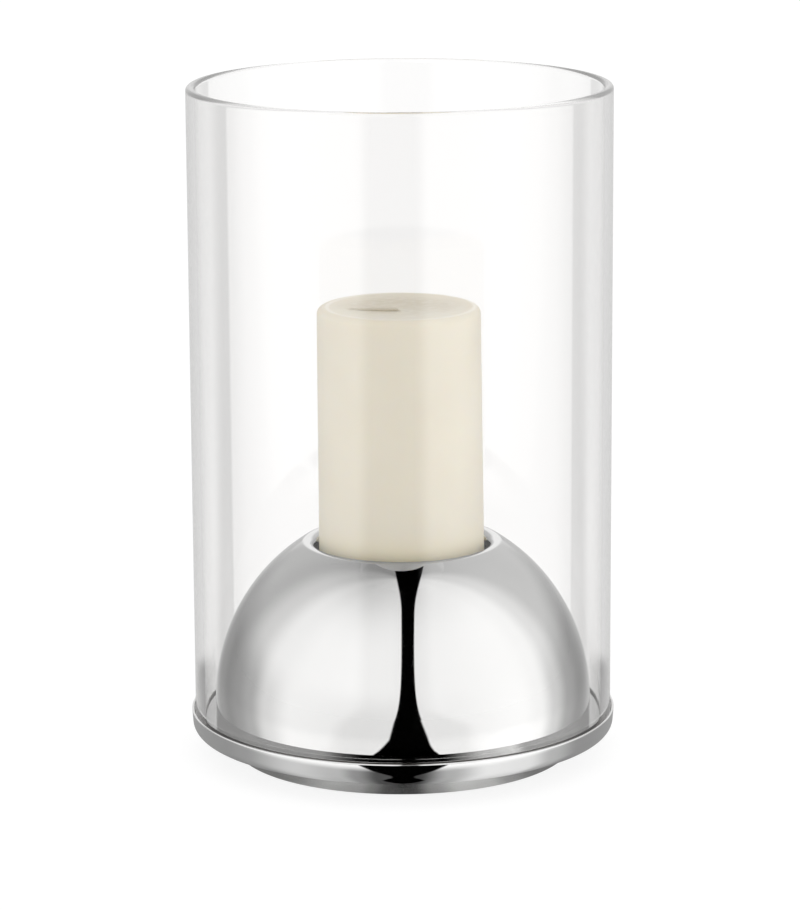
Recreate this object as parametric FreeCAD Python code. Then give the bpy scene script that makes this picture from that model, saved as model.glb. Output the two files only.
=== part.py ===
"""Candle lantern: a glass cylinder standing in the groove of a polished steel base.

Millimetres, +Z up. The origin is on the lantern's axis, in the plane it stands on.
Every part but the nut and the wick is turned from an outline in (radius, height).
"""

import FreeCAD
import Part
import math
import os

# Glass cylinder
glass_od = 176.7  # overall width of the glass
glass_wall = 4.0
glass_height = 270.5
glass_rim_round = 1.8  # fire-polished top edges
glass_foot_round = 1.2  # bottom edges, with a flat left to stand on

# Tray with the ring round the glass
tray_sheet = 1.0
tray_underside_z = 9.4  # height of the tray over the table
tray_ring_height = 9.4  # underside of the tray to the top of its ring
tray_ring_lean = 0.75  # how far the ring leans in at its foot
tray_corner_radius = 4.0  # outside, where the ring turns into the underside
ring_to_glass = 0.65  # radial gap at the top of the ring

# Soft ring under the glass
seat_ring_height = 3.1
seat_ring_clearance = 0.1

# Dome
dome_sheet = 1.0
skirt_to_glass = 0.35  # radial gap between the dome's skirt and the glass
brim_edge_radius = 0.2
brim_below_ring = 0.5  # brim under the top of the tray's ring
brim_width = 4.2  # dome to skirt
brim_corner_radius = 0.3  # where the brim meets the dome
dome_centre_over_brim = 4.75
lip_radius = 3.7
neck_depth = 12.0  # crest of the lip to the lower end of the neck

# Candle cup
cup_sheet = 1.0
cup_depth = 50.0  # crest of the lip to the floor of the cup
cup_corner_radius = 3.0
cup_to_candle = 1.8  # radial gap between the neck and the candle's nominal size
cup_lap = 6.0  # how far the cup overlaps the neck
braze_gap = 0.05

# Foot
foot_sheet = 1.2
foot_od = 143.0
foot_shoulder_radius = 1.2
foot_off_table = 0.4  # the felt carries the lantern
foot_edge_radius = 0.4

# Underside
cover_thickness = 1.2
cover_fit = 0.05
felt_thickness = 1.0
felt_inset = 0.8  # felt's edge from the foot's inside wall

# Fastening: M6 weld stud, washer and thin nut
stud_diameter = 6.0
stud_flange_diameter = 9.0
stud_flange_thickness = 1.0
stud_past_nut = 0.6
stud_hole_clearance = 0.3
washer_od = 12.0
washer_thickness = 1.6
washer_clearance = 0.2
nut_flats = 10.0
nut_height = 3.2
thread_gap = 0.05

# Candle
candle_diameter = 70.0  # nominal, at the height of the lip
candle_height = 150.0
candle_draft = 0.006  # radius lost for each millimetre of height
candle_top_round = 3.0
candle_base_round = 1.5
candle_dish_depth = 2.0
candle_dish_land = 3.4  # rim left round the dish

# Wick and its tab
wick_diameter = 1.8
wick_bend_radius = 1.6
wick_tail = 18.0  # stretch that lies over on the wax
wick_bedded = 0.4  # how far the tail is pressed into the wax at its bend
wick_hole_clearance = 0.05
tab_diameter = 18.0
tab_sheet = 0.4
tab_recess_clearance = 0.2
tab_collar_wall = 0.5
tab_collar_height = 4.0

# Places that several parts share
AXIS = FreeCAD.Vector(0, 0, 1)
ORIGIN = FreeCAD.Vector(0, 0, 0)
tray_floor_z = tray_underside_z + tray_sheet
ring_top_z = tray_underside_z + tray_ring_height
ring_outer = glass_od / 2 + ring_to_glass + tray_sheet
glass_bottom_z = tray_floor_z + seat_ring_height
skirt_outer = glass_od / 2 - glass_wall - skirt_to_glass
brim_z = ring_top_z - brim_below_ring
dome_radius = skirt_outer - brim_width
dome_centre_z = brim_z + dome_centre_over_brim
neck_inner = candle_diameter / 2 + cup_to_candle
lip_centre_r = neck_inner + lip_radius
lip_centre_z = dome_centre_z + math.sqrt((dome_radius - lip_radius) ** 2 - lip_centre_r**2)
crest_z = lip_centre_z + lip_radius
neck_end_z = crest_z - neck_depth
cup_floor_z = crest_z - cup_depth
cup_inner = neck_inner + dome_sheet + braze_gap
foot_inner = foot_od / 2 - foot_sheet
washer_top_z = tray_underside_z - foot_sheet
nut_top_z = washer_top_z - washer_thickness
stud_end_z = nut_top_z - nut_height - stud_past_nut
candle_top_z = cup_floor_z + candle_height


def point(radius, height):
    """A point of an outline, in the XZ plane."""
    return FreeCAD.Vector(radius, 0, height)


def line(start, end):
    return Part.LineSegment(start, end).toShape()


def arc(centre_r, centre_z, radius, from_deg, to_deg):
    """An arc of an outline, by its centre and the directions of its two ends."""
    angles = (from_deg, (from_deg + to_deg) / 2, to_deg)
    ends = [
        point(
            centre_r + radius * math.cos(math.radians(a)),
            centre_z + radius * math.sin(math.radians(a)),
        )
        for a in angles
    ]
    return Part.Arc(*ends).toShape()


def joined(items):
    """The edges of a closed outline: the arcs and points given, joined by straight lines."""
    edges = []
    last = None
    first = None
    for item in items:
        is_edge = isinstance(item, Part.Shape)
        start = item.firstVertex(True).Point if is_edge else item
        end = item.lastVertex(True).Point if is_edge else item
        if last is None:
            first = start
        elif last.distanceToPoint(start) > 1e-6:
            edges.append(line(last, start))
        if is_edge:
            edges.append(item)
        last = end
    if last.distanceToPoint(first) > 1e-6:
        edges.append(line(last, first))
    return edges


def turned(items):
    """A solid turned about the lantern's axis from a closed outline of arcs and points."""
    return Part.Face(Part.Wire(joined(items))).revolve(ORIGIN, AXIS, 360)


def corner_arc(before, corner, after, radius):
    """The arc of this radius that rounds a corner and touches both of its sides."""
    to_before = (before - corner).normalize()
    to_after = (after - corner).normalize()
    half = to_before.getAngle(to_after) / 2
    bisector = (to_before + to_after).normalize()
    centre = corner + bisector * (radius / math.sin(half))
    reach = radius / math.tan(half)
    return Part.Arc(
        corner + to_before * reach,
        centre - bisector * radius,
        corner + to_after * reach,
    ).toShape()


def rounded(corners):
    """A turned solid whose outline has straight sides and, at each corner, its own radius."""
    spots = [point(r, z) for r, z, _ in corners]
    items = []
    for i, (_, _, radius) in enumerate(corners):
        if radius:
            after = spots[(i + 1) % len(spots)]
            items.append(corner_arc(spots[i - 1], spots[i], after, radius))
        else:
            items.append(spots[i])
    return turned(items)


def disc(inner, outer, bottom, top):
    """A flat ring, or a plain disc where inner is 0."""
    return rounded([(inner, bottom, 0), (outer, bottom, 0), (outer, top, 0), (inner, top, 0)])


def glass_cylinder():
    outer = glass_od / 2
    inner = outer - glass_wall
    top = glass_bottom_z + glass_height
    return rounded(
        [
            (inner, glass_bottom_z, glass_foot_round),
            (outer, glass_bottom_z, glass_foot_round),
            (outer, top, glass_rim_round),
            (inner, top, glass_rim_round),
        ]
    )


def ring_wall_radius(height):
    """Outside radius of the tray's leaning ring at a height."""
    down = (ring_top_z - height) / tray_ring_height
    return ring_outer - tray_ring_lean * down


def tray():
    hole = stud_diameter / 2 + stud_hole_clearance
    edge = tray_sheet / 2 - 0.01  # a full round but for a hair, so that the arcs stay apart
    return rounded(
        [
            (hole, tray_underside_z, 0),
            (ring_wall_radius(tray_underside_z), tray_underside_z, tray_corner_radius),
            (ring_outer, ring_top_z, edge),
            (ring_outer - tray_sheet, ring_top_z, edge),
            (
                ring_wall_radius(tray_floor_z) - tray_sheet,
                tray_floor_z,
                tray_corner_radius - tray_sheet,
            ),
            (hole, tray_floor_z, 0),
        ]
    )


def glass_seat_ring():
    """Soft ring that fills the groove under the glass."""
    inner = skirt_outer + seat_ring_clearance
    wall = tray_sheet + seat_ring_clearance
    return rounded(
        [
            (inner, tray_floor_z, 0),
            (ring_wall_radius(tray_floor_z) - wall, tray_floor_z, tray_corner_radius - tray_sheet),
            (ring_wall_radius(glass_bottom_z) - wall, glass_bottom_z, 0),
            (inner, glass_bottom_z, 0),
        ]
    )


def dome_shell():
    """Skirt, brim, dome, lip and neck, as one spun sheet."""
    lip_rise = lip_centre_z - dome_centre_z
    lip_angle = math.degrees(math.atan2(lip_rise, lip_centre_r))
    skirt_inner = skirt_outer - dome_sheet
    corner_z = brim_z + brim_corner_radius
    corner_drop = corner_z - dome_centre_z
    corner_r = math.sqrt((dome_radius + brim_corner_radius) ** 2 - corner_drop**2)
    dip = math.degrees(math.atan2(corner_drop, corner_r))
    return turned(
        [
            point(skirt_outer, tray_floor_z),
            arc(skirt_outer - brim_edge_radius, brim_z - brim_edge_radius, brim_edge_radius, 0, 90),
            arc(corner_r, corner_z, brim_corner_radius, 270, 180 + dip),
            arc(0, dome_centre_z, dome_radius, dip, lip_angle),
            arc(lip_centre_r, lip_centre_z, lip_radius, lip_angle, 180),
            point(neck_inner, neck_end_z),
            point(neck_inner + dome_sheet, neck_end_z),
            arc(lip_centre_r, lip_centre_z, lip_radius - dome_sheet, 180, lip_angle),
            arc(0, dome_centre_z, dome_radius - dome_sheet, lip_angle, dip),
            arc(corner_r, corner_z, brim_corner_radius + dome_sheet, 180 + dip, 270),
            point(skirt_inner, brim_z - dome_sheet),
            point(skirt_inner, tray_floor_z),
        ]
    )


def candle_cup():
    """Deep-drawn cup, brazed over the dome's neck."""
    top = neck_end_z + cup_lap
    outer = cup_inner + cup_sheet
    underside = cup_floor_z - cup_sheet
    return rounded(
        [
            (0, underside, 0),
            (outer, underside, cup_corner_radius + cup_sheet),
            (outer, top, 0),
            (cup_inner, top, 0),
            (cup_inner, cup_floor_z, cup_corner_radius),
            (0, cup_floor_z, 0),
        ]
    )


def foot_pan():
    """Shallow pan, open downwards, that holds the tray off the table."""
    hole = stud_diameter / 2 + stud_hole_clearance
    outer = foot_od / 2
    top = tray_underside_z
    return rounded(
        [
            (hole, top - foot_sheet, 0),
            (foot_inner, top - foot_sheet, 0),
            (foot_inner, foot_off_table, 0),
            (outer, foot_off_table, foot_edge_radius),
            (outer, top, foot_shoulder_radius),
            (hole, top, 0),
        ]
    )


def base_cover():
    return disc(0, foot_inner - cover_fit, felt_thickness, felt_thickness + cover_thickness)


def base_felt():
    return disc(0, foot_inner - felt_inset, 0, felt_thickness)


def tie_stud():
    """Stud welded under the cup. It comes down through the tray and the foot."""
    top = cup_floor_z - cup_sheet
    shank = stud_diameter / 2
    flange = stud_flange_diameter / 2
    tip = shank * 0.8
    return turned(
        [
            point(0, stud_end_z),
            point(tip, stud_end_z),
            point(shank, stud_end_z + shank - tip),
            point(shank, top - stud_flange_thickness),
            point(flange, top - stud_flange_thickness),
            point(flange, top),
            point(0, top),
        ]
    )


def tie_washer():
    bore = stud_diameter / 2 + washer_clearance
    return disc(bore, washer_od / 2, nut_top_z, washer_top_z)


def tie_nut():
    """Thin hexagon nut with its corners turned off."""
    bottom = nut_top_z - nut_height
    corner = nut_flats / math.sqrt(3)
    flat = nut_flats / 2
    wire = Part.makePolygon(
        [
            FreeCAD.Vector(
                corner * math.cos(math.radians(60 * i)),
                corner * math.sin(math.radians(60 * i)),
                bottom,
            )
            for i in range(7)
        ]
    )
    hexagon = Part.Face(wire).extrude(AXIS * nut_height)
    chamfer = (corner - flat) * math.tan(math.radians(30))
    envelope = turned(
        [
            point(0, bottom),
            point(flat, bottom),
            point(corner, bottom + chamfer),
            point(corner, nut_top_z - chamfer),
            point(flat, nut_top_z),
            point(0, nut_top_z),
        ]
    )
    bore = Part.makeCylinder(
        stud_diameter / 2 + thread_gap, nut_height, FreeCAD.Vector(0, 0, bottom), AXIS
    )
    return hexagon.common(envelope).cut(bore)


def candle_radius(height):
    """Radius of the candle's slightly tapered side at a height over the table."""
    return candle_diameter / 2 - candle_draft * (height - crest_z)


def dish_sphere():
    """Radius of the shallow sphere that hollows the candle's top."""
    half = candle_radius(candle_top_z) - candle_dish_land
    return (half**2 + candle_dish_depth**2) / (2 * candle_dish_depth)


def wick_rod(start_z, radius):
    """A round rod up the axis from start_z, then over, with its tail along the dished wax."""
    dish_bottom = candle_top_z - candle_dish_depth
    tail_z = dish_bottom + wick_diameter / 2 - wick_bedded
    start = point(0, start_z)
    bend_start = point(0, tail_z - wick_bend_radius)
    turn = wick_bend_radius * math.sqrt(0.5)
    bend_middle = point(turn - wick_bend_radius, bend_start.z + turn)
    bend_end = point(-wick_bend_radius, tail_z)
    path = Part.Wire(
        [
            line(start, bend_start),
            Part.Arc(bend_start, bend_middle, bend_end).toShape(),
            line(bend_end, bend_end - point(wick_tail + radius, 0)),
        ]
    )
    section = Part.Wire(Part.makeCircle(radius, start, AXIS))
    return path.makePipeShell([section], True, False)


def candle_wick():
    return wick_rod(cup_floor_z + tab_sheet, wick_diameter / 2)


def candle_body():
    """Pillar candle, with the bed of its wick and the recess for the wick's tab."""
    body = rounded(
        [
            (0, cup_floor_z, 0),
            (candle_radius(cup_floor_z), cup_floor_z, candle_base_round),
            (candle_radius(candle_top_z), candle_top_z, candle_top_round),
            (0, candle_top_z, 0),
        ]
    )
    sphere = dish_sphere()
    dish = Part.makeSphere(sphere, point(0, candle_top_z - candle_dish_depth + sphere))
    wick_hole = wick_diameter / 2 + wick_hole_clearance
    collar_hole = wick_hole + tab_collar_wall + wick_hole_clearance
    recess = tab_diameter / 2 + tab_recess_clearance
    recess_z = cup_floor_z + tab_sheet + tab_recess_clearance
    collar_z = recess_z + tab_collar_height
    tab_recess = turned(
        [
            point(0, cup_floor_z),
            point(recess, cup_floor_z),
            point(recess, recess_z),
            point(collar_hole, recess_z),
            point(collar_hole, collar_z),
            point(0, collar_z),
        ]
    )
    return body.cut(dish).cut(tab_recess).cut(wick_rod(cup_floor_z, wick_hole))


def wick_tab():
    """Tinned plate and collar that hold the foot of the wick."""
    bore = wick_diameter / 2 + wick_hole_clearance
    collar = bore + tab_collar_wall
    plate_top = cup_floor_z + tab_sheet
    return turned(
        [
            point(0, cup_floor_z),
            point(tab_diameter / 2, cup_floor_z),
            point(tab_diameter / 2, plate_top),
            point(collar, plate_top),
            point(collar, plate_top + tab_collar_height),
            point(bore, plate_top + tab_collar_height),
            point(bore, plate_top),
            point(0, plate_top),
        ]
    )


PARTS = (
    glass_cylinder,
    glass_seat_ring,
    tray,
    dome_shell,
    candle_cup,
    tie_stud,
    tie_washer,
    tie_nut,
    foot_pan,
    base_cover,
    base_felt,
    candle_body,
    candle_wick,
    wick_tab,
)


def main():
    os.makedirs("parts", exist_ok=True)
    for make in PARTS:
        shape = make()
        solids = shape.Solids
        if len(solids) != 1 or not shape.isValid() or shape.Volume <= 0:
            raise ValueError(f"{make.__name__}: {len(solids)} solids, volume {shape.Volume}")
        solids[0].exportStep(f"parts/{make.__name__}.step")
        box = shape.BoundBox
        print(f"{make.__name__}: z {box.ZMin:.2f} to {box.ZMax:.2f}, {shape.Volume:.0f} mm3")


main()
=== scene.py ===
"""Candle lantern: a glass cylinder round a polished steel dome that holds a pillar candle.

Metres, +Z up. The turned pieces are closed lathe meshes with exact normals, because mirror-polished
steel and clear glass show every facet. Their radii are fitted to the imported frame's own boxes.
"""

import math

import bpy
from mathutils import Matrix, Vector


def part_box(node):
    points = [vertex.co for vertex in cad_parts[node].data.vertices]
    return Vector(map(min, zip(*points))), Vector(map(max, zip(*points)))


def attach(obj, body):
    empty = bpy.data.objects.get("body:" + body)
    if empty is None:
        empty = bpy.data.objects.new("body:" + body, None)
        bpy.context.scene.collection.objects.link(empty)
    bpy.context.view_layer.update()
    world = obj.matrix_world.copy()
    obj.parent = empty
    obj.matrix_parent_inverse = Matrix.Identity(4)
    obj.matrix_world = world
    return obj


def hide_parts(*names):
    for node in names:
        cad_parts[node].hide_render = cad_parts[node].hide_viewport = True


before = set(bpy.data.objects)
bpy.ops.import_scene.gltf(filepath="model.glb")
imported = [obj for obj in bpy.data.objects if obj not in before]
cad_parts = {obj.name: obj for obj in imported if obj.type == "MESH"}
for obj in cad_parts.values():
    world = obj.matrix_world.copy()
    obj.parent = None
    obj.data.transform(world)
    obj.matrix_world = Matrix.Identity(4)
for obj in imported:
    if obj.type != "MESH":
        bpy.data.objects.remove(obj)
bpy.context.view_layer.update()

MM = 0.001
DEGREE = math.pi / 180
TURNS = 256  # sides of a mirror-polished or clear turned piece
FINE = 7.5  # degrees between the spots of a rounded corner that shows clearly
SAME_SPOT = 1e-4  # mm: two spots of an outline that are nearer than this are one
ON_AXIS = 1e-6  # mm: a spot nearer to the axis than this is on it

scene = bpy.context.scene
scene.view_settings.view_transform = "Standard"
# Light crosses four surfaces of the glass each way, and is mirrored inside its walls.
scene.cycles.max_bounces = 24
scene.cycles.transmission_bounces = 24
scene.cycles.glossy_bounces = 12


# Outlines ---------------------------------------------------------------------------------------
# An outline is a list of runs, and a run is a list of ((radius, height), outward normal), in mm.


def line(start, end):
    """A straight run from one (radius, height) spot to another."""
    length = math.dist(start, end)
    normal = ((end[1] - start[1]) / length, (start[0] - end[0]) / length)
    return [[(start, normal), (end, normal)]]


def arc(centre_r, centre_z, radius, from_deg, to_deg, step_deg=6.0):
    """An arc of the outline. It bulges outwards if its angle grows, as the outline runs anticlockwise."""
    count = max(2, math.ceil(abs(to_deg - from_deg) / step_deg))
    outward = 1 if to_deg > from_deg else -1
    run = []
    for i in range(count + 1):
        a = math.radians(from_deg + (to_deg - from_deg) * i / count)
        spot = (centre_r + radius * math.cos(a), centre_z + radius * math.sin(a))
        run.append((spot, (outward * math.cos(a), outward * math.sin(a))))
    return [run]


def chained(*parts):
    """One closed outline from arcs and loose spots, with straight runs between them."""
    runs = []
    first = last = None
    for part in parts:
        is_spot = isinstance(part, tuple)
        start = part if is_spot else part[0][0][0]
        if last is None:
            first = start
        elif math.dist(last, start) > SAME_SPOT:
            runs += line(last, start)
        if not is_spot:
            runs += part
        last = part if is_spot else part[-1][-1][0]
    if math.dist(last, first) > SAME_SPOT:
        runs += line(last, first)
    return runs


def bent(corners, step_deg=10.0):
    """A closed outline with straight sides whose corners (radius, height, rounding) are rounded."""
    parts = []
    for i, (r, z, rounding) in enumerate(corners):
        if not rounding:
            parts.append((r, z))
            continue
        before, after = corners[i - 1], corners[(i + 1) % len(corners)]
        corner = Vector((r, z))
        a = (Vector(before[:2]) - corner).normalized()
        b = (Vector(after[:2]) - corner).normalized()
        half = a.angle(b) / 2
        centre = corner + (a + b).normalized() * (rounding / math.sin(half))
        start = corner + a * (rounding / math.tan(half)) - centre
        end = corner + b * (rounding / math.tan(half)) - centre
        from_deg = math.degrees(math.atan2(start.y, start.x))
        turn = math.degrees(math.atan2(start.x * end.y - start.y * end.x, start.dot(end)))
        parts.append(arc(centre.x, centre.y, rounding, from_deg, from_deg + turn, step_deg))
    return chained(*parts)


# Meshes -----------------------------------------------------------------------------------------


def finish_mesh(name, verts, faces, normals=None):
    """A smooth-shaded object. Its normals, if given, are one for each corner of each face."""
    mesh = bpy.data.meshes.new(name)
    mesh.from_pydata(verts, [], faces)
    mesh.validate()
    mesh.polygons.foreach_set("use_smooth", [True] * len(mesh.polygons))
    if normals is not None:
        mesh.normals_split_custom_set(normals)
    mesh.update()
    piece = bpy.data.objects.new(name, mesh)
    scene.collection.objects.link(piece)
    return piece


def lathe(name, runs, radial):
    """A closed turned mesh from an anticlockwise outline in mm, with each run's exact normals.

    radial scales every radius. A ring on the axis becomes a single point.
    """
    around = [2 * math.pi * k / TURNS for k in range(TURNS)]
    verts, where = [], {}

    def ring(spot):
        key = (round(spot[0], 4), round(spot[1], 4))
        if key not in where:
            r, z = spot[0] * radial * MM, spot[1] * MM
            if spot[0] < ON_AXIS:
                where[key] = [len(verts)] * TURNS
                verts.append((0.0, 0.0, z))
            else:
                where[key] = [len(verts) + k for k in range(TURNS)]
                verts.extend((r * math.cos(a), r * math.sin(a), z) for a in around)
        return where[key]

    faces, normals = [], []
    for run in runs:
        for (spot, n0), (next_spot, n1) in zip(run, run[1:]):
            if spot[0] < ON_AXIS and next_spot[0] < ON_AXIS:
                continue
            low, high = ring(spot), ring(next_spot)
            for k in range(TURNS):
                m = (k + 1) % TURNS
                corners = [(low[k], n0, k), (low[m], n0, m), (high[m], n1, m), (high[k], n1, k)]
                if spot[0] < ON_AXIS:
                    corners = corners[:1] + corners[2:]
                elif next_spot[0] < ON_AXIS:
                    corners = corners[:3]
                faces.append([c[0] for c in corners])
                for _, (nr, nz), j in corners:
                    normals.append((nr * math.cos(around[j]), nr * math.sin(around[j]), nz))
    return finish_mesh(name, verts, faces, normals)


def fitted(node, nominal_radius):
    """How much a turned piece's nominal radius (mm) shrinks to stay inside its CAD node's box."""
    low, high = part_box(node)
    return min(-low.x, high.x, -low.y, high.y) / (nominal_radius * MM)


# Node trees -------------------------------------------------------------------------------------


class Graph:
    """Short calls that build one node tree. Most return the output of the node that they add."""

    def __init__(self, tree):
        self.tree = tree
        self.path = None
        tree.nodes.clear()

    def add(self, kind, inputs=None, **settings):
        node = self.tree.nodes.new("ShaderNode" + kind)
        for key, value in settings.items():
            setattr(node, key, value)
        for key, value in (inputs or {}).items():
            self.put(node.inputs[key], value)
        return node

    def put(self, socket, value):
        """Link another node's output to a socket, or set a number, vector or (red, green, blue) on it."""
        if isinstance(value, bpy.types.NodeSocket):
            self.tree.links.new(value, socket)
        elif socket.type == "RGBA" and isinstance(value, tuple):
            socket.default_value = (*value, 1.0)
        else:
            socket.default_value = value

    def math(self, operation, *values):
        return self.add("Math", dict(enumerate(values)), operation=operation).outputs[0]

    def product(self, first, *others):
        for other in others:
            first = self.math("MULTIPLY", first, other)
        return first

    def inverse(self, value):
        return self.math("SUBTRACT", 1.0, value)

    def either(self, *values):
        """Whether any of some on-off values is on."""
        result = values[0]
        for value in values[1:]:
            result = self.add("Math", {0: result, 1: value}, operation="ADD", use_clamp=True).outputs[0]
        return result

    def smooth(self, value, low, high, at_low=0.0, at_high=1.0):
        """An S-curve from at_low, where value is low, to at_high."""
        inputs = {"Value": value, "From Min": low, "From Max": high, "To Min": at_low, "To Max": at_high}
        return self.add("MapRange", inputs, interpolation_type="SMOOTHSTEP").outputs["Result"]

    def scaled(self, value, at_zero, at_one):
        """A straight line from at_zero, where value is 0, to at_one."""
        return self.add("MapRange", {"Value": value, "To Min": at_zero, "To Max": at_one}).outputs["Result"]

    def ramp(self, value, stops, interpolation="EASE"):
        """Brightness from a few (position, brightness) stops."""
        node = self.add("ValToRGB", {"Fac": value})
        ramp = node.color_ramp
        ramp.interpolation = interpolation
        for i, (position, level) in enumerate(stops):
            if i >= len(ramp.elements):
                ramp.elements.new(position)
            ramp.elements[i].position = position
            ramp.elements[i].color = (level, level, level, 1.0)
        return node.outputs["Color"]

    # A Mix node has sockets for each kind of data: 2 and 3 are numbers, 6 and 7 are colours.

    def mix(self, factor, a, b):
        """Colour a where the factor is 0, b where it is 1."""
        node = self.add("Mix", {0: factor, 6: a, 7: b}, data_type="RGBA")
        return node.outputs[2]

    def mix_value(self, factor, a, b):
        """Number a where the factor is 0, b where it is 1."""
        node = self.add("Mix", {0: factor, 2: a, 3: b}, data_type="FLOAT")
        return node.outputs[0]

    def noise(self, vector, scale, detail, roughness=0.5):
        inputs = {"Vector": vector, "Scale": scale, "Detail": detail, "Roughness": roughness}
        return self.add("TexNoise", inputs).outputs["Fac"]

    def bump(self, height, strength, distance):
        inputs = {"Height": height, "Strength": strength, "Distance": distance}
        return self.add("Bump", inputs).outputs["Normal"]

    def place(self):
        """A point's place on its own object, which is its place in the frame at rest."""
        return self.add("TexCoord").outputs["Object"]

    def split(self, vector):
        parts = self.add("SeparateXYZ", {"Vector": vector}).outputs
        return parts["X"], parts["Y"], parts["Z"]

    def off_axis(self, x, y):
        return self.math("SQRT", self.math("ADD", self.product(x, x), self.product(y, y)))

    def bearing(self, x, y):
        """Degrees round the lantern: the camera is at 0, the right at 90."""
        return self.math("DIVIDE", self.math("ARCTAN2", x, self.product(y, -1.0)), DEGREE)

    def ray(self, output):
        """One of the Light Path node's outputs."""
        if self.path is None:
            self.path = self.add("LightPath").outputs
        return self.path[output]

    def has_bounced(self, kind, times=1):
        """Whether a ray has been mirrored (Glossy), scattered (Diffuse), or let through, bent
        (Transmission) or straight (Transparent), at least so often."""
        return self.math("GREATER_THAN", self.ray(kind + " Depth"), times - 0.5)

    def principled(self, inputs):
        shader = self.add("BsdfPrincipled", inputs)
        self.add("OutputMaterial", {"Surface": shader.outputs[0]})


def material(name):
    made = bpy.data.materials.new(name)
    made.use_nodes = True
    return made, Graph(made.node_tree)


# Studio -----------------------------------------------------------------------------------------

# Brightness of the studio as polished steel and glass reflect it, by direction round the lantern in
# degrees: the camera is at 0, the right at 90. Two wide softboxes stand in front, left and right,
# with a dark gap between them; the sides are grey, and a pale sweep stands behind. The second list is
# for the floor and the horizon, the third for the floor in the lantern's own shade, and the fourth for
# what the tray's brim and the dome's flank reflect of each other.
STUDIO_HIGH = (
    (-180, 0.70), (-150, 0.53), (-132, 0.48), (-110, 0.74), (-88, 1.06), (-60, 1.16), (-15, 1.20),
    (15, 1.13), (75, 1.21), (92, 1.15), (106, 0.90), (122, 0.64), (140, 0.62), (180, 0.70),
)
STUDIO_LOW = (
    (-180, 0.66), (-150, 0.36), (-135, 0.29), (-120, 0.35), (-105, 0.44), (-90, 0.82), (-70, 1.10),
    (-20, 1.02), (20, 1.08), (75, 1.23), (90, 1.13), (105, 0.70), (120, 0.40), (137, 0.30), (180, 0.62),
)
STUDIO_SHADE = (
    (-180, 0.38), (-110, 0.34), (-95, 0.37), (-57, 0.70), (-34, 0.56), (-24, 0.32), (-13, 0.09), (8, 0.06),
    (24, 0.50), (45, 0.95), (68, 0.90), (86, 0.54), (110, 0.33), (180, 0.38),
)
STUDIO_TWICE = (
    (-180, 0.45), (-56, 0.45), (-24, 0.0), (24, 0.0), (52, 0.9), (70, 1.25), (80, 0.55), (180, 0.45),
)
SWEEP = 0.8  # brightness of the white sweep behind, as the glass's edges and rim catch it
SHEET_BEHIND = 1.0  # brightness of the sheet right behind, as the dome's lip mirrors it
BACKDROP = 1.0  # white, as the camera sees the background
LIGHT_TILT = 0.10  # how much more the right side of the studio lights matt surfaces than its middle

# How much of the brightness is gone straight overhead, on the left and on the right, what share of
# that in the middle, and how closely it keeps to the zenith.
CEILING_LEFT, CEILING_RIGHT, CEILING_MIDDLE, CEILING_POWER = 0.62, 0.34, 0.62, 9.0

# Where each part of the studio fades in, from its first value to its second. The values are parts of a
# unit direction: x right, y back, z up.
HORIZON_Z = (-0.02, 0.34)
CEILING_X, CEILING_ASIDE = (-0.3, 0.3), (0.1, 0.5)
CROWN_Y, GAP_END_Y = (-0.40, 0.22), (0.20, 0.24)
TWICE_Z = (0.6, 0.4)
PALE_CEILING_FROM_Z, PALE_CEILING_TO_Z = (0.35, 0.5), (0.75, 0.65)
SWEEP_Y = (0.70, 0.85)
SHEET_ASIDE, SHEET_Y, SHEET_Z = (0.38, 0.14), (0.40, 0.75), (0.05, 0.16)
OPEN_TOP_Z, WALL_DIMMING = 0.93, 0.1  # and how much brightness the glass's wall takes away

# The dark gap between the softboxes. SKY_GAP values are parts of a unit direction: its middle, its
# half width, how much wider it is at the horizon and how soon that fades, and how much wider overhead.
SKY_GAP_MIDDLE, SKY_GAP_HALF, SKY_GAP_FOOT, SKY_GAP_FADE, SKY_GAP_CROWN = 0.052, 0.061, 0.077, 4.8, 0.052
SKY_GAP_BLUR = 0.004

# On the floor it is so many degrees round the lantern, each side of its middle: close to the tray by
# the list, from 80 to 200 mm off the axis, narrower by GAP_TAPER far off, and as the outside of the
# glass mirrors it, GAP_BESIDE wide near the tray and GAP_GLASS wide far off, further to the left.
GAP_NEAR_TRAY = (
    (0.0, 0.0), (0.05, 3.0), (0.12, 6.3), (0.24, 4.5), (0.31, 3.7), (0.345, 10.3), (0.385, 15.5),
    (0.42, 13.8), (0.52, 12.0), (0.62, 11.1), (0.75, 10.3), (1.0, 9.4),
)
GAP_LIST_FROM, GAP_LIST_TO, GAP_TAPER = 0.08, 0.20, 1.6
GAP_MIDDLE_NEAR, GAP_MIDDLE_FAR, GAP_MIDDLE_GLASS = 1.2, 2.7, -4.0
GAP_BESIDE, GAP_GLASS = 29.0, 15.5
GAP_SHARP, GAP_SOFT = 0.6, 4.5  # how far its edge blurs, in degrees

FLOOR_REACH = 30.0
NEAR_FLOOR = 1.12  # how much brighter the floor beside the lantern is than further off
# Its own glow and its matt part, as the camera and as mirrored rays see them, and for scattered rays.
GLOW_SEEN, GLOW_MIRRORED = 0.86, 0.55
MATT_SEEN, MATT_MIRRORED, MATT_SCATTERED = 0.18, 0.45, 0.8

# Where things on the floor fade in, from the first value to the second, in metres from the axis.
SHADE_EDGE = (0.120, 0.126)  # the end of the lantern's own shade
NEAR_FLOOR_R, SWEEP_R, SWEEP_TURNED_R = (0.14, 0.25), (0.135, 0.20), (0.17, 0.24)
GAP_MIDDLE_R, GAP_BESIDE_R, GAP_FAR_R = (0.12, 0.22), (0.13, 0.14), (0.19, 0.23)
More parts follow.
